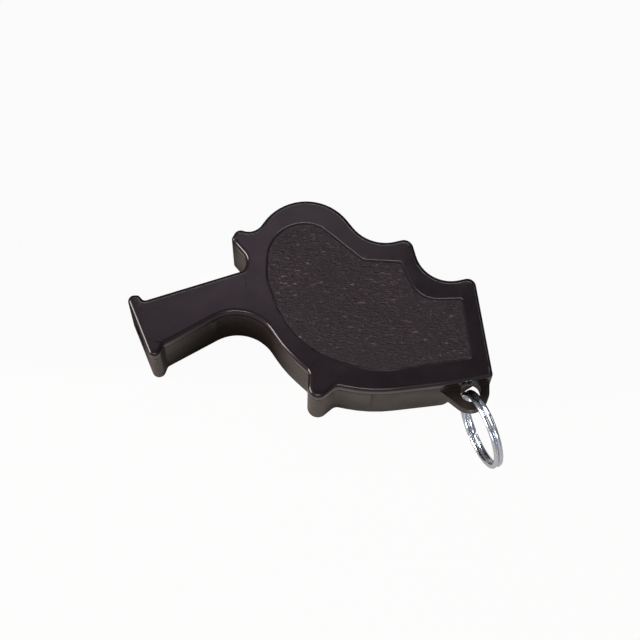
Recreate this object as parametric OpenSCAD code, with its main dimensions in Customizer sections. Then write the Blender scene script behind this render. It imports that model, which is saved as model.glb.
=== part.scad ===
// Sports whistle: a deep tray with an inner chamber, an outer chamber round it and a
// windway through the neck, a flat cover, a loose pea and a split ring in a lug.
// The whistle lies on its far face. X runs from the mouth to the finger grips, Y runs up
// the height and Z through the thickness. The origin is on the far face, on the axis of
// the inner chamber.

/* [Body] */
// Length from the lip to the corner by the lug
body_len = 81.5; // [70:0.5:95]
// Height from the lower bump to the top of the dome
body_ht = 46; // [40:1:54]
// Thickness over both faces
body_t = 19; // [17:0.5:23]
// Wall that follows the outline
wall_t = 2; // [1.6:0.1:2.4]
// Thickness of the far face
floor_t = 2; // [1.4:0.1:2.6]
// Radius inside the corners of that wall
hollow_r = 0.6; // [0.3:0.1:1]

/* [Air path] */
// Inside radius of the round chamber
chamber_r = 10.5; // [9:0.1:12]
// Wall of the chamber and of the windway floor
inner_wall_t = 1.4; // [1:0.1:1.8]
// Height of the air jet where it leaves the windway
jet_t = 2; // [1.4:0.1:2.6]
// Height of the slot in the lip
mouth_ht = 6.5; // [5:0.1:7]
// Distance from the end of the windway to the blowing edge
window_len = 4.2; // [3.5:0.1:5]
// Length of the slope behind the blowing edge
edge_slope_len = 2.8; // [2:0.1:3.5]
// Thickness of the blowing edge
edge_t = 0.3; // [0.2:0.05:0.5]

/* [Cover] */
// Thickness of the cover at its rim
cover_t = 3; // [2.2:0.1:3.8]
// Depth of the grained panel below the border
panel_depth = 0.3; // [0.1:0.1:0.6]
// Height of the locating ring under the cover
spigot_ht = 1; // [0.6:0.1:1.5]
// Wall of the locating ring
spigot_t = 1; // [0.8:0.1:1.6]
// Clearance of the locating ring in the chamber
spigot_gap = 0.1; // [0.05:0.05:0.3]

/* [Pea] */
// Diameter of the pea
pea_d = 9.5; // [7:0.1:11]
// Clearance of the pea from the chamber wall and the floor
pea_gap = 0.25; // [0.1:0.05:0.5]
// Angle of the resting pea round the chamber axis
pea_angle = -60; // [-180:5:180]

/* [Lug] */
// Thickness of the lug
lug_t = 3.5; // [2.8:0.1:4.4]
// Depth of the lug below the near face
lug_sink = 5.5; // [4.5:0.1:6.5]
// Outside diameter of the eye
eye_d = 8.4; // [7:0.1:10]
// Hole for the split ring
lug_hole_d = 4.6; // [3.9:0.1:5.2]
// Distance of the hole from the corner of the body, along the length
lug_in = 4.6; // [3.8:0.1:5.6]
// Distance of the hole below the corner of the body
lug_drop = 2.25; // [1.8:0.05:3]
// Depth of the lug's root in the wall
lug_root = 0.4; // [0.2:0.1:1]
// Radius that blends the eye into the bottom wall
lug_blend_r = 6; // [3:0.5:8]
// Radius of the pocket behind the lug, where the ring swings
pocket_r = 5.5; // [4.5:0.1:6.6]

/* [Split ring] */
// Outside diameter of the ring
ring_d = 18.4; // [15:0.2:22]
// Diameter of the wire
wire_d = 0.95; // [0.8:0.05:1.1]
// Gap between the two turns
turn_gap = 0.42; // [0.42:0.02:0.6]
// Clearance of the ring in the hole
ring_gap = 0.2; // [0.1:0.05:0.4]
// Clearance of the ring above the surface that the whistle lies on
ring_rest_gap = 0.3; // [0.2:0.05:0.6]
// Height of the lug's middle above the ring's middle
ring_sag = 2.25; // [0:0.05:2.7]
// Lean of the hanging ring from the Y axis
ring_lean = 25; // [0:1:40]
// Tilt of the ring about its own hanging direction
ring_tilt = 5; // [0:1:8]

/* [Hidden] */

// Steps of the rounded corners, in degrees
arc_step = 6;
// Overrun of every cut
over = 0.5;

// Outline corners, clockwise from the lower lip: the place as shares of the length and
// the height from the chamber axis, then the radius as a share of the height
lip_shares = [[-0.482, -0.399, 0.034], [-0.573, -0.037, 0.03], [-0.536, -0.037, 0.015]];
neck_top_shares = [[-0.521, -0.064, 0.022], [-0.253, 0.108, 0.022]];
notch_shares = [[-0.24, 0.165, 0.065], [-0.291, 0.265, 0.022], [-0.275, 0.324, 0.035]];
dome_shares = [[-0.226, 0.297, 0.078], [-0.098, 0.654, 0.252], [0.092, 0.252, 0.198]];
grip_shares = [[0.205, 0.308, 0.048], [0.25, 0.057, 0.174], [0.383, 0.12, 0.043]];
lug_corner_share = [0.438, -0.383, 0.017];
bottom_shares = [[0.313, -0.432, 0.87], [0.109, -0.489, 0.74], [0.013, -0.46, 0.04]];
bump_shares = [[-0.064, -0.583, 0.052], [-0.064, -0.393, 0.028]];
belly_share = [-0.133, -0.288, 0.65];
arch_shares = [[-0.231, -0.039, 0.207], [-0.459, -0.285, 0.02]];
outline_shares = concat(
    lip_shares, neck_top_shares, notch_shares, dome_shares, grip_shares,
    [lug_corner_share], bottom_shares, bump_shares, [belly_share], arch_shares
);

// Corners of the grained panel, in the same shares
panel_shares = [
    [-0.19, 0.361, 0.196], [-0.054, 0.359, 0.17], [0.076, 0.18, 0.054], [0.179, 0.178, 0.02],
    [0.233, -0.013, 0.14], [0.35, 0.001, 0.017], [0.38, -0.297, 0.017], [0.126, -0.386, 0.39],
    [-0.12, -0.278, 0.48], [-0.189, 0.074, 0.17]
];

// Where the windway floor leaves the neck's lower edge, between the arch and the lip
floor_start_share = 0.65;

// Heights of the seam, of the lug and of the ring's middle
seam_z = body_t - cover_t;
lug_top_z = body_t - lug_sink;
lug_low_z = lug_top_z - lug_t;
ring_z = max(lug_top_z - lug_t / 2 - ring_sag, ring_d / 2 + ring_rest_gap);

// Corner table in millimetres
function placed(shares) = [for (s = shares) [s.x * body_len, s.y * body_ht, s.z * body_ht]];
function flat(p) = [p.x, p.y];
function unit(v) = v / norm(v);
function left_of(v) = [-v.y, v.x];
function turned(v, angle) = cos(angle) * v + sin(angle) * left_of(v);
function turn(a, b, c) = let (u = unit(b - a), w = unit(c - b)) atan2(left_of(u) * w, u * w);

// Arc that rounds the corner b, reached along u and left after the turn
function corner_arc(b, u, angle, r) =
    let (side = sign(angle), steps = ceil(abs(angle) / arc_step))
    let (centre = b - u * r * tan(abs(angle) / 2) + side * r * left_of(u))
    [for (k = [0:steps]) centre - side * r * turned(left_of(u), angle * k / steps)];

// Polygon with every corner rounded, and radii that share an edge kept within it
function rounded(corners) =
    let (n = len(corners), p = [for (c = corners) flat(c)])
    let (angles = [for (i = [0:n - 1]) turn(p[(i + n - 1) % n], p[i], p[(i + 1) % n])])
    let (runs = [for (i = [0:n - 1]) corners[i].z * tan(abs(angles[i]) / 2)])
    let (edges = [for (i = [0:n - 1]) norm(p[(i + 1) % n] - p[i])])
    let (room = [for (i = [0:n - 1]) edges[i] / (runs[i] + runs[(i + 1) % n])])
    let (fit = [for (i = [0:n - 1]) min(1, room[(i + n - 1) % n], room[i])])
    [for (i = [0:n - 1]) each corner_arc(
        p[i], unit(p[i] - p[(i + n - 1) % n]), angles[i], corners[i].z * fit[i])];

// The blowing direction follows the top edge of the neck. In its frame u runs along the
// jet and v across it, both from the chamber axis.
neck_start = flat(placed(neck_top_shares)[0]);
neck_end = flat(placed(neck_top_shares)[1]);
blow_dir = unit(neck_end - neck_start);
blow_angle = atan2(blow_dir.y, blow_dir.x);
function in_blow(p) = [p * blow_dir, p * left_of(blow_dir)];
neck_top = in_blow(neck_end).y;
jet_top = neck_top - wall_t;
jet_low = jet_top - jet_t;
slope_top = in_blow(neck_end);
edge = [slope_top.x - edge_slope_len, jet_top - jet_t / 2];
blunt_edge = edge + [0, edge_t];
exit_u = edge.x - window_len;
slope_grow = 1.1;
lip_u = in_blow(flat(placed(lip_shares)[1])).x;
arch_top = in_blow(flat(placed(arch_shares)[0]));
lip_low = in_blow(flat(placed(arch_shares)[1]));
neck_low = arch_top + floor_start_share * (lip_low - arch_top);
throat_angle = 165;

// Axis of the lug, and the ring's place in its hole
lug_xy = flat(placed([lug_corner_share])[0]) - [lug_in, lug_drop];
hang_dir = [sin(ring_lean), -cos(ring_lean)];
turn_pitch = wire_d + turn_gap;
ring_seat = lug_hole_d / 2 - ring_gap - (turn_pitch + wire_d) / 2;
seat_dir = turned(hang_dir, -135);
ring_mean_r = (ring_d - wire_d) / 2;
ring_xy = lug_xy + ring_seat * seat_dir + ring_mean_r * hang_dir;

module outline() polygon(rounded(placed(outline_shares)));
module hollow() offset(r = hollow_r, $fn = 24) offset(delta = -wall_t - hollow_r) outline();
module in_blow_frame() rotate(blow_angle) children();

// Round chamber with the throat that opens towards the windway
module chamber_space() in_blow_frame() {
    circle(r = chamber_r, $fn = 120);
    polygon([
        [exit_u, jet_top], edge, [0, chamber_r], [0, 0],
        chamber_r * [cos(throat_angle), sin(throat_angle)], [exit_u, jet_low]
    ]);
}

// Floor of the windway, up from the neck's lower wall to the exit
module windway_floor() in_blow_frame() polygon([
    [neck_low.x, neck_low.y + wall_t], [exit_u, jet_low],
    [exit_u, jet_low - inner_wall_t], neck_low
]);

// Narrowing end of the windway above that floor
module windway_end() in_blow_frame() polygon([
    [neck_low.x, neck_low.y + wall_t], [exit_u, jet_low], [exit_u + over, jet_low],
    [exit_u + over, jet_top], [neck_low.x, jet_top]
]);

// Sound port through the neck's top wall, from the exit up the slope behind the edge
module port() in_blow_frame() polygon([
    [exit_u, jet_low], [edge.x, jet_low], blunt_edge,
    blunt_edge + slope_grow * (slope_top - blunt_edge), [exit_u, slope_top.y + over]
]);

// Slot through the end of the lip
module mouth_slot() in_blow_frame()
    translate([lip_u - wall_t, jet_top - mouth_ht]) square([wall_t * 3, mouth_ht]);

module inner_walls() {
    difference() {
        offset(delta = inner_wall_t) chamber_space();
        chamber_space();
        windway_end();
        port();
    }
    windway_floor();
}

// Eye of the lug with the blend that roots it in the wall
module lug_web() intersection() {
    offset(r = -lug_blend_r) offset(delta = lug_blend_r) {
        offset(delta = -lug_root) outline();
        translate(lug_xy) circle(d = eye_d, $fn = 72);
    }
    translate(lug_xy) circle(r = eye_d + lug_blend_r / 2, $fn = 72);
}

// Solid corner of the body that holds the pocket behind the lug
module lug_corner() translate(lug_xy) circle(r = pocket_r + wall_t, $fn = 72);

// What the tray is hollowed by
module tray_space() difference() {
    hollow();
    inner_walls();
    lug_corner();
}

module body_shell() color([0.16, 0.14, 0.15]) difference() {
    union() {
        difference() {
            linear_extrude(seam_z) outline();
            translate([0, 0, floor_t]) linear_extrude(seam_z) tray_space();
        }
        translate([0, 0, lug_low_z]) linear_extrude(lug_t) difference() {
            lug_web();
            hollow();
        }
    }
    translate([0, 0, floor_t]) linear_extrude(body_t) {
        port();
        mouth_slot();
    }
    translate([lug_xy.x, lug_xy.y, -over]) cylinder(r = pocket_r, h = lug_low_z + over, $fn = 72);
    translate([lug_xy.x, lug_xy.y, 0]) cylinder(d = lug_hole_d, h = body_t, $fn = 72);
}

module side_cover() color([0.2, 0.17, 0.19]) {
    difference() {
        translate([0, 0, seam_z]) linear_extrude(cover_t) outline();
        translate([0, 0, body_t - panel_depth]) linear_extrude(panel_depth + over)
            polygon(rounded(placed(panel_shares)));
    }
    spigot_r = chamber_r - spigot_gap;
    translate([0, 0, seam_z - spigot_ht]) difference() {
        cylinder(r = spigot_r, h = spigot_ht + over, $fn = 120);
        translate([0, 0, -over]) cylinder(r = spigot_r - spigot_t, h = spigot_ht + 3 * over, $fn = 120);
    }
}

module pea() {
    orbit_r = chamber_r - pea_d / 2 - pea_gap;
    color([0.75, 0.6, 0.4]) rotate(pea_angle) translate([orbit_r, 0, floor_t + pea_gap + pea_d / 2])
        sphere(d = pea_d, $fn = 48);
}

// One wire of nearly two turns. It lies flat in each turn and steps across between them.
step_angle = 20;
ring_sides = 8;
ring_steps = 72;
split_angle = -100;
wire_start = step_angle / 2;
wire_end = 720 - step_angle / 2;
function step_share(angle) = let (t = max(0, min(1, (angle - 360) / step_angle + 0.5))) t * t * (3 - 2 * t);
function wire_angle(k) = wire_start + (wire_end - wire_start) * k / ring_steps;
function wire_across(angle) = (step_share(angle) - 0.5) * turn_pitch;
function wire_point(angle, out) =
    let (a = angle + split_angle)
    [out * cos(a), out * sin(a), wire_across(angle)];

module split_ring() {
    points = [for (k = [0:ring_steps], s = [0:ring_sides - 1])
        let (side = 360 * s / ring_sides)
        wire_point(wire_angle(k), ring_mean_r + wire_d / 2 * cos(side))
            + [0, 0, wire_d / 2 * sin(side)]];
    first_end = [for (s = [ring_sides - 1:-1:0]) s];
    last_end = [for (s = [0:ring_sides - 1]) ring_steps * ring_sides + s];
    sides = [for (k = [0:ring_steps - 1], s = [0:ring_sides - 1])
        let (a = k * ring_sides + s, b = k * ring_sides + (s + 1) % ring_sides)
        each [[a, b, b + ring_sides], [a, b + ring_sides, a + ring_sides]]];
    color([0.78, 0.8, 0.84]) translate([ring_xy.x, ring_xy.y, ring_z])
        rotate([90 + ring_tilt, 0, ring_lean + 90])
        polyhedron(points, concat([first_end], sides, [last_end]));
}

// Least gap between the two turns, measured on points a turn or nearly a turn apart
turn_gaps = [for (a = [wire_start:2:wire_end - 330], b = [a + 330:2:min(a + 390, wire_end)])
    norm(wire_point(a, ring_mean_r) - wire_point(b, ring_mean_r)) - wire_d];
echo(least_gap_between_turns = min(turn_gaps));

body_shell();
side_cover();
pea();
split_ring();
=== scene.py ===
"""Looks of a black plastic sports whistle with a split ring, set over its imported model."""
import math

import bmesh
import bpy
from mathutils import Matrix, Vector
from mathutils.geometry import convex_hull_2d, delaunay_2d_cdt


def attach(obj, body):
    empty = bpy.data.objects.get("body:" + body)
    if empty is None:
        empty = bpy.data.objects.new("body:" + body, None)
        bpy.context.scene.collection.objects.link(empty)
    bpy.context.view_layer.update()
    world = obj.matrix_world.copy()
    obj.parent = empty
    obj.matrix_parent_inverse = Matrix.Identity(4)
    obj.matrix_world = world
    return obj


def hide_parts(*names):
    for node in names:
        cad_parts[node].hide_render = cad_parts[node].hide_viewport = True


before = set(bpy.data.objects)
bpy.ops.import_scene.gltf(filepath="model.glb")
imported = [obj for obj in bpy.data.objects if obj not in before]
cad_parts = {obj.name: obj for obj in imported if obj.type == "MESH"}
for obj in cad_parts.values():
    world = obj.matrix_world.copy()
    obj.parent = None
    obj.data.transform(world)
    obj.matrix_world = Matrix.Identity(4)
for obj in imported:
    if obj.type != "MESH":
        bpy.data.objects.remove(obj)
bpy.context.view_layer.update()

MM = 0.001
TO_MM = 1000
WELD = 0.0005 * MM
LONGEST_STEP = 2.5 * MM

# Heights and sizes of the two mouldings
BODY_T = 19.0 * MM
SEAM_Z = 16.0 * MM
PANEL_DEPTH = 0.1 * MM
RIM_R = 1.0 * MM
SEAM_CUT = 0.2 * MM
PANEL_EDGE = 0.3 * MM

# The split ring's wire
RING_D = 18.4 * MM
WIRE_D = 1.08 * MM
TURN_PITCH = 1.13 * MM
RING_SAG = 2.25 * MM
RING_LEAN = 25
RING_TILT = 5
STEP_ANGLE = 9
END_GAP_ANGLE = 2
SPLIT_ANGLE = -82
LUG_XY = (31.097 * MM, -19.868 * MM)
LUG_MID_Z = 11.75 * MM
RING_SEAT = 0.94 * MM
SEAT_TURN = -135
WIRE_END = ((-0.15, 0.0), (-0.15, 0.86), (-0.1, 0.96), (-0.03, 0.99))
WIRE_END_ROOM = 1

# The lug: its eye, hole, heights and root, and the slanted wall behind it
EYE_D = 8.4 * MM
LUG_HOLE_D = 4.6 * MM
LUG_LOW_Z = 10.0 * MM
LUG_TOP_Z = 13.5 * MM
LUG_ROOT = 0.3 * MM
LUG_ROOT_LEN = 7.4 * MM
LUG_ROOT_HT = 4.5 * MM
POCKET_R = 5.5 * MM
POCKET_GAP = 3.2 * MM
POCKET_ANGLE = 35
LUG_ROOM = ((19.0, -26.0), (37.5, -26.0), (37.5, -17.0), (19.0, -17.0))
LUG_ROOM_Z = (9 * MM, 14.6 * MM)
SKIN = 0.002 * MM

# The camera: the middle of the photo, its distance, and the picture's own turn
LOOK_AT = Vector((-3.03, -6.14, 19.0)) * MM
CAMERA_DISTANCE = 462.9 * MM
CAMERA_ELEVATION = 73.0
CAMERA_ROLL = 2.07
FOCAL_MM = 117.2
SENSOR_MM = 36
PHOTO_SIZE = 640

# Shares of white that floor and world show to the camera and to gloss, and the world's own light
FLOOR_TO_CAMERA = 0.96
FLOOR_TO_GLOSS = 0.012
WORLD_TO_GLOSS = 0.1
FRONT_TO_GLOSS = 0.4
WORLD_FILL = 0.06
FRONT_DIR = (-0.25, -0.95, 0.15)
FRONT_REACH = (0.15, 0.8)

# The floor's painted shade, paler in front of the whistle and dark behind it, and its painted pool of
# light beside the notch, in metres
FLOOR_TINT = (1, 0.92, 0.87)
PAINTED_SHADE_Y = (-0.0185, -0.008)
PAINTED_SHADE_LEVELS = (0.53, 0.03)
PAINTED_SPOT_AT = (-0.027, 0.004, 0)
PAINTED_SPOT_REACH = (0.004, 0.01)
PAINTED_SPOT_LEVELS = (0.6, 0)
FLOOR_HALF = 3.0

# Pixel of the small moulding pip on the near face, and its radius, foot and flatness
PIP_PX = (245.2, 284.7)
PIP_R = 0.3 * MM
PIP_FOOT = 0.04 * MM
PIP_FLAT = 0.6

# Lamps: name, place, target, size, watts and colour
LAMPS = (
    ("left_panel", (-0.81, -0.14, 0.42), (0, 0, 0.01), (0.62, 0.42), 12.5, (1, 0.95, 0.9)),
    ("over_panel", (-0.31, 0.55, 0.9), (-0.309, 0.549, 0), (0.9, 0.8), 0.85, (1, 0.8, 0.96)),
    ("over_spot", (-0.04, 0.33, 0.9), (-0.04, 0.331, 0), (0.16, 0.14), 0.055, (1, 0.8, 0.96)),
    ("front_strip", (-0.09, -0.66, 0.6), (0, 0, 0.02), (0.5, 0.11), 2.0, (1, 0.95, 0.93)),
    ("back_strip", (0.05, 0.6, 0.9), (0, 0, 0.02), (0.7, 0.07), 1.8, (1, 1, 1)),
    ("right_strip", (0.6, 0.22, 0.48), (0, 0, 0.02), (0.35, 0.05), 0.35, (1, 1, 1)),
)


# Camera

def camera_axes():
    """Right, up and view directions of the camera."""
    elevation = math.radians(CAMERA_ELEVATION)
    roll = math.radians(CAMERA_ROLL)
    view = Vector((0, math.cos(elevation), -math.sin(elevation)))
    level_right = Vector((1, 0, 0))
    level_up = Vector((0, math.sin(elevation), math.cos(elevation)))
    right = math.cos(roll) * level_right + math.sin(roll) * level_up
    up = -math.sin(roll) * level_right + math.cos(roll) * level_up
    return right, up, view


def make_camera():
    right, up, view = camera_axes()
    data = bpy.data.cameras.new("photo_camera")
    data.lens = FOCAL_MM
    data.sensor_width = SENSOR_MM
    data.sensor_fit = "AUTO"
    data.clip_start = 0.01
    data.clip_end = 20
    cam = bpy.data.objects.new("photo_camera", data)
    bpy.context.collection.objects.link(cam)
    place = Matrix((right, up, -view)).transposed().to_4x4()
    place.translation = LOOK_AT - view * CAMERA_DISTANCE
    cam.matrix_world = place
    bpy.context.scene.camera = cam


def on_near_face(px):
    """Point of the near face that a pixel of the photo shows."""
    right, up, view = camera_axes()
    focal_px = FOCAL_MM / SENSOR_MM * PHOTO_SIZE
    dx = (px[0] - PHOTO_SIZE / 2) / focal_px
    dy = (PHOTO_SIZE / 2 - px[1]) / focal_px
    ray = view + dx * right + dy * up
    eye = LOOK_AT - view * CAMERA_DISTANCE
    return eye + ray * ((BODY_T - eye.z) / ray.z)


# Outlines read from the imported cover

def near_loops():
    """Closed loops of the cover's near face, longest first."""
    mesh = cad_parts["side_cover"].data
    bm = bmesh.new()
    bm.from_mesh(mesh)
    bmesh.ops.remove_doubles(bm, verts=bm.verts, dist=0.002 * MM)
    links = {}
    for edge in bm.edges:
        if any(abs(v.co.z - BODY_T) > 0.01 * MM for v in edge.verts):
            continue
        level = [f for f in edge.link_faces if abs(f.normal.z) > 0.9]
        if len(level) != 1:
            continue
        a, b = edge.verts
        links.setdefault(a.index, []).append(b.index)
        links.setdefault(b.index, []).append(a.index)
    bm.verts.ensure_lookup_table()
    loops = []
    left = set(links)
    while left:
        start = min(left)
        loop = [start]
        left.discard(start)
        here = start
        while True:
            onward = [i for i in links[here] if i in left]
            if not onward:
                break
            here = onward[0]
            left.discard(here)
            loop.append(here)
        loops.append([Vector(bm.verts[i].co.xy) for i in loop])
    bm.free()
    loops.sort(key=perimeter, reverse=True)
    return [anticlockwise(loop) for loop in loops]


def perimeter(loop):
    return sum((loop[i] - loop[i - 1]).length for i in range(len(loop)))


def anticlockwise(loop):
    area = sum(loop[i - 1].cross(loop[i]) for i in range(len(loop)))
    if area < 0:
        loop = loop[::-1]
    return loop


def split_long(loop, longest):
    """The same loop with its long straight runs divided."""
    out = []
    for i, a in enumerate(loop):
        b = loop[(i + 1) % len(loop)]
        parts = max(1, math.ceil((b - a).length / longest))
        out.extend(a.lerp(b, k / parts) for k in range(parts))
    return out


def inward(loop, reach):
    """Inward steps per unit of reach, longer at bends and shorter where a tight corner has no room."""
    count = len(loop)
    normals = []
    shares = []
    for i in range(count):
        before = (loop[i] - loop[i - 1]).normalized()
        after = (loop[(i + 1) % count] - loop[i]).normalized()
        middle = (before + after).normalized()
        normal = Vector((-middle.y, middle.x))
        bend = before.angle_signed(after)
        stretch = 1 / max(0.5, math.cos(bend / 2))
        normals.append(normal * stretch)
        turn = -bend
        short = min((loop[i] - loop[i - 1]).length, (loop[(i + 1) % count] - loop[i]).length)
        radius = short / turn if turn > 0.02 else 1
        shares.append(min(1, 0.9 * radius / reach))
    for _ in range(3):
        shares = [min(shares[i - 1] + 0.12, shares[i], shares[(i + 1) % count] + 0.12)
                  for i in range(count)]
    return [n * s for n, s in zip(normals, shares)]


# Meshes

def ring_of(bm, loop, steps, inset, z):
    return [bm.verts.new((*(p + d * inset), z)) for p, d in zip(loop, steps)]


def bridge(bm, low, high):
    count = len(low)
    for i in range(count):
        j = (i + 1) % count
        bm.faces.new((low[i], low[j], high[j], high[i]))


def fill(bm, outer, holes=(), down=False):
    """Flat face between an outer ring of vertices and the rings of its holes."""
    verts = list(outer)
    rings = [list(range(len(outer)))]
    for hole in holes:
        rings.append(list(range(len(verts), len(verts) + len(hole))))
        verts.extend(hole)
    edges = [(r[i - 1], r[i]) for r in rings for i in range(len(r))]
    flat = [Vector(v.co.xy) * TO_MM for v in verts]
    out_verts, _, out_faces, source = delaunay_2d_cdt(flat, edges, [], 0, 1e-6)[:4]
    z = verts[0].co.z
    real = []
    for co, own in zip(out_verts, source):
        real.append(verts[own[0]] if own else bm.verts.new((co.x / TO_MM, co.y / TO_MM, z)))
    outline = [Vector(v.co.xy) for v in outer]
    gaps = [[Vector(v.co.xy) for v in hole] for hole in holes]
    for tri in out_faces:
        middle = sum((Vector(real[i].co.xy) for i in tri), Vector((0, 0))) / len(tri)
        if not within(middle, outline) or any(within(middle, g) for g in gaps):
            continue
        order = tri[::-1] if down else tri
        try:
            bm.faces.new([real[i] for i in order])
        except ValueError:
            continue


def within(point, loop):
    inside = False
    for i in range(len(loop)):
        a, b = loop[i - 1], loop[i]
        if (a.y > point.y) != (b.y > point.y):
            if point.x < (b.x - a.x) * (point.y - a.y) / (b.y - a.y) + a.x:
                inside = not inside
    return inside


def finished(bm, name, sharp=30):
    bmesh.ops.recalc_face_normals(bm, faces=bm.faces)
    mesh = bpy.data.meshes.new(name)
    bm.to_mesh(mesh)
    bm.free()
    obj = bpy.data.objects.new(name, mesh)
    bpy.context.collection.objects.link(obj)
    smooth(obj, sharp)
    return obj


def smooth(obj, sharp):
    mesh = obj.data
    for face in mesh.polygons:
        face.use_smooth = True
    mesh.set_sharp_from_angle(angle=math.radians(sharp))
    weighted = obj.modifiers.new("weighted", "WEIGHTED_NORMAL")
    weighted.keep_sharp = True
    weighted.weight = 60


def rim(start_z, sign, steps=7):
    """Heights and insets round a quarter circle that ends level."""
    out = []
    for k in range(1, steps + 1):
        angle = math.pi / 2 * k / steps
        out.append((start_z + sign * RIM_R * math.sin(angle), RIM_R * (1 - math.cos(angle))))
    return out


def make_cover(outline, panel):
    bm = bmesh.new()
    steps = inward(outline, RIM_R)
    profile = [(SEAM_Z, SEAM_CUT), (SEAM_Z + SEAM_CUT, 0), (BODY_T - RIM_R, 0)]
    profile += rim(BODY_T - RIM_R, 1)
    rings = [ring_of(bm, outline, steps, inset, z) for z, inset in profile]
    for low, high in zip(rings, rings[1:]):
        bridge(bm, low, high)
    fill(bm, rings[0], down=True)
    panel_steps = inward(panel, PANEL_EDGE)
    slope = [(0, -1), (-0.12, -0.7), (-0.35, -0.35), (-0.35, -0.2),
             (0.3, 0.4), (0.85, 0.85), (1, 1)]
    edge_rings = [ring_of(bm, panel, panel_steps, PANEL_EDGE * out, BODY_T - PANEL_DEPTH * deep)
                  for deep, out in slope]
    for high, low in zip(edge_rings, edge_rings[1:]):
        bridge(bm, high, low)
    fill(bm, rings[-1], [edge_rings[0]])
    fill(bm, edge_rings[-1])
    cover = finished(bm, "cover_skin")
    cover.data.materials.append(border_plastic())
    cover.data.materials.append(grained_plastic_with_painted_glints())
    for face in cover.data.polygons:
        if face.center.z < BODY_T - 0.97 * PANEL_DEPTH and face.normal.z > 0.95:
            if within(Vector(face.center.xy), panel):
                face.material_index = 1
    return cover


def make_spigot():
    """Ring under the cover that locates it in the chamber."""
    bm = bmesh.new()
    out_r, in_r, low, high = 10.4 * MM, 9.4 * MM, 15.0 * MM, 16.01 * MM
    chamfer = 0.15 * MM
    profile = [(in_r, high), (in_r, low + chamfer), (in_r + chamfer, low), (out_r - chamfer, low),
               (out_r, low + chamfer), (out_r, high)]
    count = 96
    rings = []
    for r, z in profile:
        rings.append([bm.verts.new((r * math.cos(a), r * math.sin(a), z))
                      for a in (2 * math.pi * k / count for k in range(count))])
    for a, b in zip(rings, rings[1:] + rings[:1]):
        bridge(bm, a, b)
    return finished(bm, "cover_spigot")


def make_envelope(outline):
    """Block with rounded far rim and a fine groove at the seam, which trims the shell."""
    bm = bmesh.new()
    steps = inward(outline, RIM_R)
    slack = 0.004 * MM
    profile = [(-0.6 * MM, RIM_R)]
    profile += [(z - slack, inset) for z, inset in reversed(rim(RIM_R, -1))]
    profile += [(RIM_R, 0), (RIM_R + 0.01 * MM, -slack), (SEAM_Z - SEAM_CUT, -slack)]
    profile += [(SEAM_Z + 0.01 * MM, SEAM_CUT), (SEAM_Z + 0.5 * MM, SEAM_CUT)]
    rings = [ring_of(bm, outline, steps, inset, z) for z, inset in profile]
    for low, high in zip(rings, rings[1:]):
        bridge(bm, low, high)
    fill(bm, rings[0], down=True)
    fill(bm, rings[-1])
    return finished(bm, "envelope")


def disc(middle, radius, count=72):
    """Points round a circle."""
    turns = (2 * math.pi * k / count for k in range(count))
    return [middle + radius * Vector((math.cos(a), math.sin(a))) for a in turns]


def prism(points, low, high, name):
    """Upright solid over the convex hull of some points."""
    hull = anticlockwise([points[i] for i in convex_hull_2d(points)])
    bm = bmesh.new()
    rings = [[bm.verts.new((*p, z)) for p in hull] for z in (low, high)]
    bridge(bm, *rings)
    bm.faces.new(rings[0][::-1])
    bm.faces.new(rings[1])
    solid = finished(bm, name)
    solid.modifiers.clear()
    return solid


def lug_parts(outline):
    """The lug with straight flanks, its hole, and the slanted wall behind it."""
    axis = Vector(LUG_XY)
    along = Matrix.Rotation(math.radians(POCKET_ANGLE), 2)
    behind = along @ Vector((0, 1))
    fine = split_long(outline, 0.3 * MM)
    inner = [p + d * LUG_ROOT for p, d in zip(fine, inward(fine, LUG_ROOT))]
    root = [p for p in inner
            if -LUG_ROOT_LEN < p.x - axis.x < EYE_D and abs(p.y - axis.y) < LUG_ROOT_HT]
    web = prism(disc(axis, EYE_D / 2) + root, LUG_LOW_Z + 1.5 * SKIN, LUG_TOP_Z + SKIN, "lug_web")
    hole = prism(disc(axis, LUG_HOLE_D / 2), LUG_LOW_Z - 0.5 * MM, LUG_TOP_Z + 0.2 * MM, "lug_hole")
    reached = POCKET_R + 20 * SKIN
    places = (reached * (k / 40 - 1) for k in range(81))
    face = [axis + along @ Vector((x, 0.9 * POCKET_GAP)) for x in places]
    wall = [p for p in disc(axis, reached) + face if within(p, fine)] + fine
    wall = [p for p in wall
            if (p - axis).length < 1.001 * reached and (p - axis).dot(behind) > 0.85 * POCKET_GAP]
    filler = prism(wall, 20 * SKIN, LUG_LOW_Z + 0.5 * MM, "corner_filler")
    reach = 3 * POCKET_R
    corners = [(-reach, -reach), (reach, -reach), (reach, POCKET_GAP), (-reach, POCKET_GAP)]
    pocket = prism([axis + along @ Vector(c) for c in corners], -MM, LUG_LOW_Z + SKIN, "pocket")
    return filler, pocket, web, hole


def boolean(obj, other, operation):
    mod = obj.modifiers.new("cut", "BOOLEAN")
    mod.operation = operation
    mod.solver = "EXACT"
    mod.object = other
    apply_all(obj)


def apply_all(obj):
    """Bake the modifiers into the mesh."""
    graph = bpy.context.evaluated_depsgraph_get()
    mesh = bpy.data.meshes.new_from_object(obj.evaluated_get(graph))
    obj.modifiers.clear()
    obj.data = mesh


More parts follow.
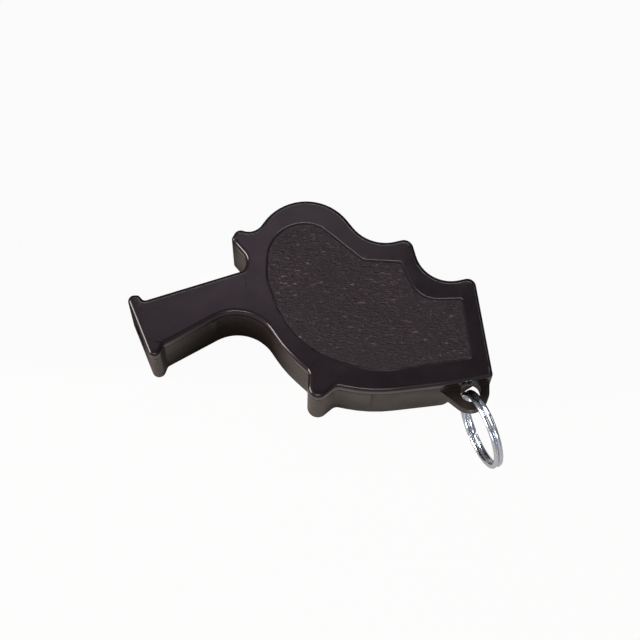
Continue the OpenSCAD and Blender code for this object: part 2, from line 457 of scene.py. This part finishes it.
def make_shell(outline):
    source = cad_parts["body_shell"]
    bm = bmesh.new()
    bm.from_mesh(source.data)
    bmesh.ops.remove_doubles(bm, verts=bm.verts, dist=WELD)
    shell = finished(bm, "shell_skin")
    shell.modifiers.clear()
    filler, pocket, web, hole = lug_parts(outline)
    envelope = make_envelope(outline)
    envelope.modifiers.clear()
    room = prism([Vector(c) * MM for c in LUG_ROOM], *LUG_ROOM_Z, "lug_room")
    boolean(envelope, room, "UNION")
    bpy.data.objects.remove(room)
    steps = [(filler, "UNION"), (pocket, "DIFFERENCE"), (web, "UNION"), (hole, "DIFFERENCE"),
             (envelope, "INTERSECT")]
    for other, operation in steps:
        boolean(shell, other, operation)
        bpy.data.objects.remove(other)
    shell.data.materials.clear()
    shell.data.materials.append(shell_plastic())
    smooth(shell, 30)
    return shell


def make_ring():
    """Split ring: one round wire of nearly two turns."""
    mean_r = (RING_D - WIRE_D) / 2
    lean = math.radians(RING_LEAN)
    hang = Vector((math.sin(lean), -math.cos(lean)))
    seat = Matrix.Rotation(math.radians(SEAT_TURN), 2) @ hang
    middle = Vector(LUG_XY) + RING_SEAT * seat + mean_r * hang
    turn = Matrix.Rotation(math.radians(RING_LEAN + 90), 4, "Z")
    turn = turn @ Matrix.Rotation(math.radians(90 + RING_TILT), 4, "X")
    place = Matrix.Translation((middle.x, middle.y, LUG_MID_Z - RING_SAG)) @ turn
    sides = 20
    steps = 260
    first = END_GAP_ANGLE / 2
    last = 720 - END_GAP_ANGLE / 2
    bm = bmesh.new()
    rings = []
    stations = []
    for back, wide in WIRE_END:
        stations.append((first + math.degrees(back * WIRE_D / mean_r) + WIRE_END_ROOM, wide))
    for k in range(steps + 1):
        share = (last - first - 2 * WIRE_END_ROOM) * k / steps
        stations.append((first + WIRE_END_ROOM + share, 1))
    for back, wide in reversed(WIRE_END):
        stations.append((last - WIRE_END_ROOM - math.degrees(back * WIRE_D / mean_r), wide))
    for angle, wide in stations:
        t = min(1, max(0, (angle - 360) / STEP_ANGLE + 0.5))
        across = (t * t * (3 - 2 * t) - 0.5) * TURN_PITCH
        a = math.radians(angle + SPLIT_ANGLE)
        ring = []
        for s in range(sides):
            b = 2 * math.pi * s / sides
            r = mean_r + WIRE_D / 2 * max(wide, 0.02) * math.cos(b)
            z = across + WIRE_D / 2 * max(wide, 0.02) * math.sin(b)
            ring.append(bm.verts.new(place @ Vector((r * math.cos(a), r * math.sin(a), z))))
        rings.append(ring)
    for low, high in zip(rings, rings[1:]):
        bridge(bm, low, high)
    bm.faces.new(rings[0])
    bm.faces.new(rings[-1])
    wire = finished(bm, "ring_wire", 60)
    wire.data.materials.append(plated_steel())
    return wire


def make_pip():
    """Low round pip that the mould leaves on the near face."""
    at = on_near_face(PIP_PX)
    bm = bmesh.new()
    count = 24
    rings = []
    for k in range(6):
        angle = math.pi / 2 * k / 6
        r = PIP_R * math.cos(angle)
        z = BODY_T - PIP_FOOT + PIP_FLAT * PIP_R * math.sin(angle)
        rings.append([bm.verts.new((at.x + r * math.cos(b), at.y + r * math.sin(b), z))
                      for b in (2 * math.pi * s / count for s in range(count))])
    for low, high in zip(rings, rings[1:]):
        bridge(bm, low, high)
    bm.faces.new(rings[-1])
    bm.faces.new(rings[0][::-1])
    pip = finished(bm, "cover_pip", 60)
    pip.data.materials.append(border_plastic())
    return pip


# Materials

def new_material(name, color, roughness, metallic=0.0):
    mat = bpy.data.materials.get(name)
    if mat:
        return mat, None
    mat = bpy.data.materials.new(name)
    mat.use_nodes = True
    shader = mat.node_tree.nodes["Principled BSDF"]
    shader.inputs["Base Color"].default_value = (*color, 1)
    shader.inputs["Roughness"].default_value = roughness
    shader.inputs["Metallic"].default_value = metallic
    return mat, shader


def add(mat, kind, **values):
    node = mat.node_tree.nodes.new(kind)
    for key, value in values.items():
        setattr(node, key, value)
    return node


def link(mat, a, b):
    mat.node_tree.links.new(a, b)


def grey(level):
    return (level, level, level)


def coords(mat, scale):
    """Object coordinates in metres, stretched."""
    place = add(mat, "ShaderNodeTexCoord")
    stretch = add(mat, "ShaderNodeMapping")
    stretch.inputs["Scale"].default_value = scale
    link(mat, place.outputs["Object"], stretch.inputs["Vector"])
    return stretch.outputs["Vector"]


def noise(mat, scale, detail=2.0, roughness=0.5):
    node = add(mat, "ShaderNodeTexNoise")
    node.inputs["Scale"].default_value = 1
    node.inputs["Detail"].default_value = detail
    node.inputs["Roughness"].default_value = roughness
    link(mat, coords(mat, scale), node.inputs["Vector"])
    return node.outputs["Fac"]


def ramp(mat, source, stops):
    node = add(mat, "ShaderNodeValToRGB")
    points = node.color_ramp.elements
    points[0].position, points[0].color = stops[0][0], (*stops[0][1], 1)
    points[1].position, points[1].color = stops[-1][0], (*stops[-1][1], 1)
    for place, color in stops[1:-1]:
        extra = points.new(place)
        extra.color = (*color, 1)
    link(mat, source, node.inputs["Fac"])
    return node.outputs["Color"]


def bump(mat, shader, source, distance, strength=1.0, before=None):
    node = add(mat, "ShaderNodeBump")
    node.inputs["Distance"].default_value = distance
    node.inputs["Strength"].default_value = strength
    link(mat, source, node.inputs["Height"])
    if before is not None:
        link(mat, before, node.inputs["Normal"])
    link(mat, node.outputs["Normal"], shader.inputs["Normal"])
    return node.outputs["Normal"]


def shell_plastic():
    """Satin black moulding with faint flow clouds and softened edges."""
    mat, shader = new_material("shell_plastic_look", (0.03, 0.026, 0.026), 0.36)
    if shader is None:
        return mat
    shader.inputs["Specular IOR Level"].default_value = 0.4
    clouds = noise(mat, (90, 90, 60), 3.0)
    tint = ramp(mat, clouds, [(0.35, (0.0085, 0.005, 0.0035)), (0.65, (0.0145, 0.009, 0.007))])
    link(mat, tint, shader.inputs["Base Color"])
    sheen = ramp(mat, noise(mat, (160, 160, 160), 4.0), [(0.3, grey(0.3)), (0.7, grey(0.42))])
    link(mat, sheen, shader.inputs["Roughness"])
    soft = add(mat, "ShaderNodeBevel", samples=6)
    soft.inputs["Radius"].default_value = 0.28 * MM
    fine = noise(mat, (2600, 2600, 2600), 3.0)
    bump(mat, shader, fine, 0.012 * MM, 0.5, soft.outputs["Normal"])
    return mat


def border_plastic():
    """Smooth glossy border of the cover, slightly violet where the light is broad."""
    mat, shader = new_material("border_plastic_look", (0.03, 0.024, 0.028), 0.24)
    if shader is None:
        return mat
    shader.inputs["Specular IOR Level"].default_value = 0.4
    clouds = noise(mat, (70, 90, 70), 3.0)
    tint = ramp(mat, clouds, [(0.3, (0.0085, 0.005, 0.0072)), (0.7, (0.0125, 0.008, 0.011))])
    link(mat, tint, shader.inputs["Base Color"])
    sheen = ramp(mat, noise(mat, (220, 300, 220), 4.0), [(0.3, grey(0.13)), (0.75, grey(0.23))])
    link(mat, sheen, shader.inputs["Roughness"])
    waves = noise(mat, (420, 620, 420), 2.0)
    soft = bump(mat, shader, waves, 0.012 * MM, 0.5)
    fine = noise(mat, (2600, 3200, 2600), 2.0)
    bump(mat, shader, fine, 0.004 * MM, 0.5, soft)
    return mat


def grained_plastic_with_painted_glints():
    """Fine leather grain of the sunk panel, drawn out along the length, lighter on its ridges, with
    painted glints at their tops.
    """
    mat, shader = new_material("grained_plastic_look", (0.05, 0.04, 0.045), 0.42)
    if shader is None:
        return mat
    shader.inputs["Specular IOR Level"].default_value = 0.4
    warp = noise(mat, (260, 340, 300), 2.0)
    wrinkle = add(mat, "ShaderNodeTexNoise")
    wrinkle.inputs["Scale"].default_value = 1
    wrinkle.inputs["Detail"].default_value = 4
    wrinkle.inputs["Roughness"].default_value = 0.62
    wrinkle.inputs["Distortion"].default_value = 0.9
    link(mat, coords(mat, (900, 2500, 2000)), wrinkle.inputs["Vector"])
    ridges = ramp(mat, wrinkle.outputs["Fac"], [(0.34, grey(0)), (0.5, grey(0.45)), (0.62, grey(1))])
    # The ridges' colour is partly the grain's own tone, and its brightest stop paints glints on the ridge
    # tops.
    tint = ramp(mat, wrinkle.outputs["Fac"],
                [(0.3, (0.006, 0.003, 0.005)), (0.5, (0.013, 0.0065, 0.011)), (0.62, (0.036, 0.02, 0.03)),
                 (0.72, (0.2, 0.15, 0.18))])
    link(mat, tint, shader.inputs["Base Color"])
    gloss = ramp(mat, warp, [(0.35, grey(0.36)), (0.65, grey(0.52))])
    link(mat, gloss, shader.inputs["Roughness"])
    broad = bump(mat, shader, warp, 0.05 * MM, 0.5)
    bump(mat, shader, ridges, 0.2 * MM, 0.95, broad)
    return mat


def plated_steel():
    """Bright plated wire with fine drawing marks."""
    mat, shader = new_material("plated_steel_look", (0.85, 0.88, 0.93), 0.1, 1.0)
    if shader is None:
        return mat
    clouds = noise(mat, (500, 500, 500), 3.0)
    tint = ramp(mat, clouds, [(0.3, (0.7, 0.77, 0.9)), (0.7, (0.87, 0.93, 1.0))])
    link(mat, tint, shader.inputs["Base Color"])
    haze = ramp(mat, noise(mat, (900, 900, 900), 4.0), [(0.3, grey(0.05)), (0.75, grey(0.2))])
    link(mat, haze, shader.inputs["Roughness"])
    waves = noise(mat, (700, 700, 700), 2.0)
    bump(mat, shader, waves, 0.02 * MM, 0.5)
    return mat


def ball_plastic():
    """Matte light ball with a fine pitted skin."""
    mat, shader = new_material("ball_plastic_look", (0.55, 0.42, 0.28), 0.7)
    if shader is None:
        return mat
    clouds = noise(mat, (500, 500, 500), 5.0)
    tint = ramp(mat, clouds, [(0.3, (0.36, 0.25, 0.15)), (0.7, (0.62, 0.48, 0.33))])
    link(mat, tint, shader.inputs["Base Color"])
    pits = add(mat, "ShaderNodeTexVoronoi")
    pits.inputs["Scale"].default_value = 1
    link(mat, coords(mat, (1400, 1400, 1400)), pits.inputs["Vector"])
    bump(mat, shader, pits.outputs["Distance"], 0.08 * MM, 0.6)
    return mat


# Light and floor

def smooth_range(owner, source, reach, levels):
    """Levels that follow a value smoothly over a reach."""
    node = add(owner, "ShaderNodeMapRange", interpolation_type="SMOOTHSTEP")
    node.inputs["From Min"].default_value, node.inputs["From Max"].default_value = reach
    node.inputs["To Min"].default_value, node.inputs["To Max"].default_value = levels
    link(owner, source, node.inputs["Value"])
    return node.outputs["Result"]


def mirrored_rays(owner, path):
    """1 for the rays that polished and clear materials send on."""
    node = add(owner, "ShaderNodeMath", operation="MAXIMUM")
    link(owner, path.outputs["Is Glossy Ray"], node.inputs[0])
    link(owner, path.outputs["Is Transmission Ray"], node.inputs[1])
    return node.outputs[0]


def painted_floor_shade(mat):
    """Colour of the floor, with painted shade: paler in front of the whistle and dark behind it, and a
    painted pool of light beside its notch.
    """
    place = add(mat, "ShaderNodeTexCoord")
    behind = add(mat, "ShaderNodeVectorMath", operation="DOT_PRODUCT")
    behind.inputs[1].default_value = (0, 1, 0)
    link(mat, place.outputs["Object"], behind.inputs[0])
    # Painted shade: the floor's colour darkens from in front of the whistle to behind it.
    painted_shade = smooth_range(mat, behind.outputs["Value"], PAINTED_SHADE_Y, PAINTED_SHADE_LEVELS)
    # Painted light: a pale pool on the floor beside the notch.
    notch = add(mat, "ShaderNodeVectorMath", operation="DISTANCE")
    notch.inputs[1].default_value = PAINTED_SPOT_AT
    link(mat, place.outputs["Object"], notch.inputs[0])
    painted_spot = smooth_range(mat, notch.outputs["Value"], PAINTED_SPOT_REACH, PAINTED_SPOT_LEVELS)
    both = add(mat, "ShaderNodeMath", operation="ADD")
    link(mat, painted_shade, both.inputs[0])
    link(mat, painted_spot, both.inputs[1])
    warm = add(mat, "ShaderNodeVectorMath", operation="SCALE")
    warm.inputs[0].default_value = FLOOR_TINT
    link(mat, both.outputs[0], warm.inputs["Scale"])
    return warm.outputs["Vector"]


def floor_material():
    """White to the camera with a faint shadow, and dim to gloss."""
    mat = bpy.data.materials.new("floor_look")
    mat.use_nodes = True
    shader = mat.node_tree.nodes["Principled BSDF"]
    shader.inputs["Roughness"].default_value = 0.9
    shader.inputs["Specular IOR Level"].default_value = 0
    link(mat, painted_floor_shade(mat), shader.inputs["Base Color"])
    glow = add(mat, "ShaderNodeEmission")
    glow.inputs["Color"].default_value = (1, 1, 1, 1)
    path = add(mat, "ShaderNodeLightPath")
    gloss = add(mat, "ShaderNodeMath", operation="MULTIPLY")
    gloss.inputs[1].default_value = FLOOR_TO_GLOSS
    link(mat, mirrored_rays(mat, path), gloss.inputs[0])
    share = add(mat, "ShaderNodeMath", operation="MULTIPLY_ADD")
    share.inputs[1].default_value = FLOOR_TO_CAMERA
    link(mat, path.outputs["Is Camera Ray"], share.inputs[0])
    link(mat, gloss.outputs[0], share.inputs[2])
    mix = add(mat, "ShaderNodeMixShader")
    link(mat, share.outputs[0], mix.inputs["Fac"])
    link(mat, shader.outputs["BSDF"], mix.inputs[1])
    link(mat, glow.outputs["Emission"], mix.inputs[2])
    link(mat, mix.outputs["Shader"], mat.node_tree.nodes["Material Output"].inputs["Surface"])
    return mat


def make_floor():
    bm = bmesh.new()
    corners = [bm.verts.new((x * FLOOR_HALF, y * FLOOR_HALF, 0))
               for x, y in ((-1, -1), (1, -1), (1, 1), (-1, 1))]
    bm.faces.new(corners)
    floor = finished(bm, "floor")
    floor.modifiers.clear()
    floor.data.materials.append(floor_material())


def make_world():
    """White to the camera, brighter to gloss towards the front, and a low even light."""
    world = bpy.data.worlds.new("studio")
    bpy.context.scene.world = world
    world.use_nodes = True
    back = world.node_tree.nodes["Background"]
    back.inputs["Color"].default_value = (1, 1, 1, 1)
    path = add(world, "ShaderNodeLightPath")
    place = add(world, "ShaderNodeTexCoord")
    facing = add(world, "ShaderNodeVectorMath", operation="DOT_PRODUCT")
    facing.inputs[1].default_value = FRONT_DIR
    link(world, place.outputs["Generated"], facing.inputs[0])
    levels = (WORLD_TO_GLOSS, FRONT_TO_GLOSS)
    front = smooth_range(world, facing.outputs["Value"], FRONT_REACH, levels)
    gloss = add(world, "ShaderNodeMath", operation="MULTIPLY_ADD")
    gloss.inputs[2].default_value = WORLD_FILL
    link(world, mirrored_rays(world, path), gloss.inputs[0])
    link(world, front, gloss.inputs[1])
    total = add(world, "ShaderNodeMath", operation="MULTIPLY_ADD")
    total.inputs[1].default_value = 1 - WORLD_FILL
    link(world, path.outputs["Is Camera Ray"], total.inputs[0])
    link(world, gloss.outputs[0], total.inputs[2])
    link(world, total.outputs[0], back.inputs["Strength"])


def make_light(name, place, target, size, watts, color):
    data = bpy.data.lights.new(name, "AREA")
    data.shape = "RECTANGLE"
    data.size, data.size_y = size
    data.energy = watts
    data.color = color
    lamp = bpy.data.objects.new(name, data)
    bpy.context.collection.objects.link(lamp)
    lamp.location = place
    look = (Vector(target) - Vector(place)).to_track_quat("-Z", "Y")
    lamp.rotation_euler = look.to_euler()


# Build

make_camera()
bpy.context.scene.view_settings.view_transform = "Standard"

loops = near_loops()
outline = split_long(loops[0], LONGEST_STEP)
panel = split_long(loops[1], LONGEST_STEP)

cover = make_cover(outline, panel)
spigot = make_spigot()
spigot.data.materials.append(shell_plastic())
pip = make_pip()
shell = make_shell(outline)
wire = make_ring()

for piece in (cover, spigot, pip, shell):
    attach(piece, "whistle")
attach(wire, "ring")
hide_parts("side_cover")
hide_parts("body_shell")
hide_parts("split_ring")

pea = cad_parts["pea"]
for place in pea.material_slots:
    place.material = ball_plastic()

make_floor()
make_world()
for lamp in LAMPS:
    make_light(*lamp)
